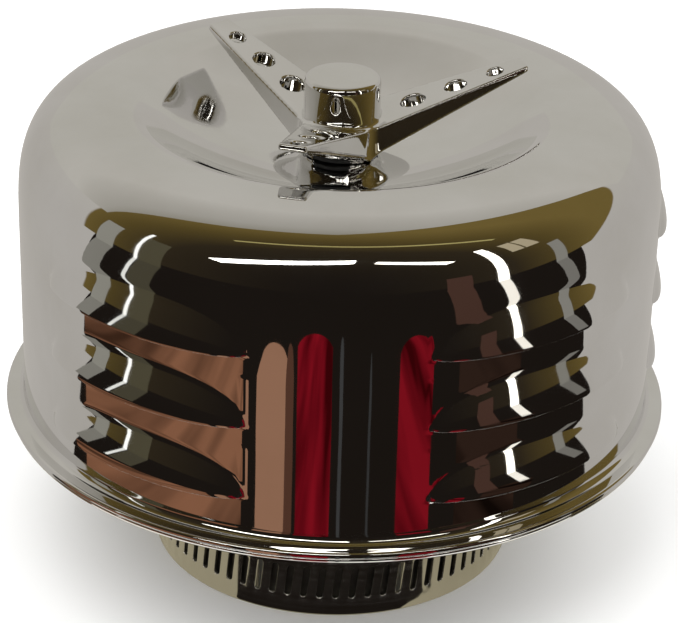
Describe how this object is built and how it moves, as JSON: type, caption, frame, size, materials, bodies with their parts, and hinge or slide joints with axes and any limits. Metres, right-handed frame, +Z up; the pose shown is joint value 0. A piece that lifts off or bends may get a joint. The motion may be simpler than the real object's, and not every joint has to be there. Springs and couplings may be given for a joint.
{
  "type": "air filter housing",
  "caption": "Round louvred chrome air filter housing with a ring filter, base pan, spinner nut and neck clamp.",
  "frame": {"origin": "on the housing's axis, at the lower edge of the carburettor neck", "axes": "+Z up along the neck and the centre stud; -Y towards the plain strip of wall between the two front louvre banks"},
  "size_m": [0.128, 0.128, 0.0969],
  "materials": {
    "chrome": "mirror chrome plate on steel",
    "stainless": "bright rolled stainless strip",
    "zinc_steel": "bright zinc plate",
    "filter_paper": "resin-treated pleated filter paper",
    "screen": "expanded steel mesh",
    "urethane": "moulded urethane",
    "rubber": "matt black rubber"
  },
  "bodies": {
    "base": {"base_pan": "chrome", "neck_tube": "chrome", "stud_bridge": "zinc_steel", "bridge_rivet_left": "zinc_steel", "bridge_rivet_right": "zinc_steel", "centre_stud": "zinc_steel", "stud_lock_washer": "zinc_steel", "stud_nut_upper": "zinc_steel", "stud_nut_lower": "zinc_steel", "clamp_band": "stainless", "clamp_housing": "stainless"},
    "screw": {"clamp_screw": "zinc_steel"},
    "filter": {"filter_media": "filter_paper", "filter_inner_screen": "screen", "filter_outer_screen": "screen", "filter_bottom_seal": "urethane", "filter_top_seal": "urethane"},
    "cover": {"cover_shell": "chrome"},
    "washer": {"seal_washer": "rubber"},
    "spinner": {"spinner_nut": "chrome"}
  },
  "joints": [
    {"name": "cover_lift", "type": "slide", "parent": "base", "child": "cover", "axis": [0, 0, 1], "range_m": [0, 0.13]},
    {"name": "filter_lift", "type": "slide", "parent": "base", "child": "filter", "axis": [0, 0, 1], "range_m": [0, 0.065]},
    {"name": "nut_rise", "type": "slide", "parent": "cover", "child": "washer", "axis": [0, 0, 1], "range_m": [0, 0.0089]},
    {"name": "nut_spin", "type": "hinge", "parent": "washer", "child": "spinner", "pos_m": [0, 0, 0.089], "axis": [0, 0, 1], "range_deg": [0, 2520]},
    {"name": "clamp_screw_spin", "type": "hinge", "parent": "base", "child": "screw", "pos_m": [0, 0.0413, 0.00745], "axis": [1, 0, 0], "continuous": true}
  ],
  "couplings": [
    {"joint": "filter_lift", "follows": "cover_lift", "ratio": 0.5},
    {"joint": "nut_rise", "follows": "nut_spin", "m_per_rad": 0.00020213}
  ]
}
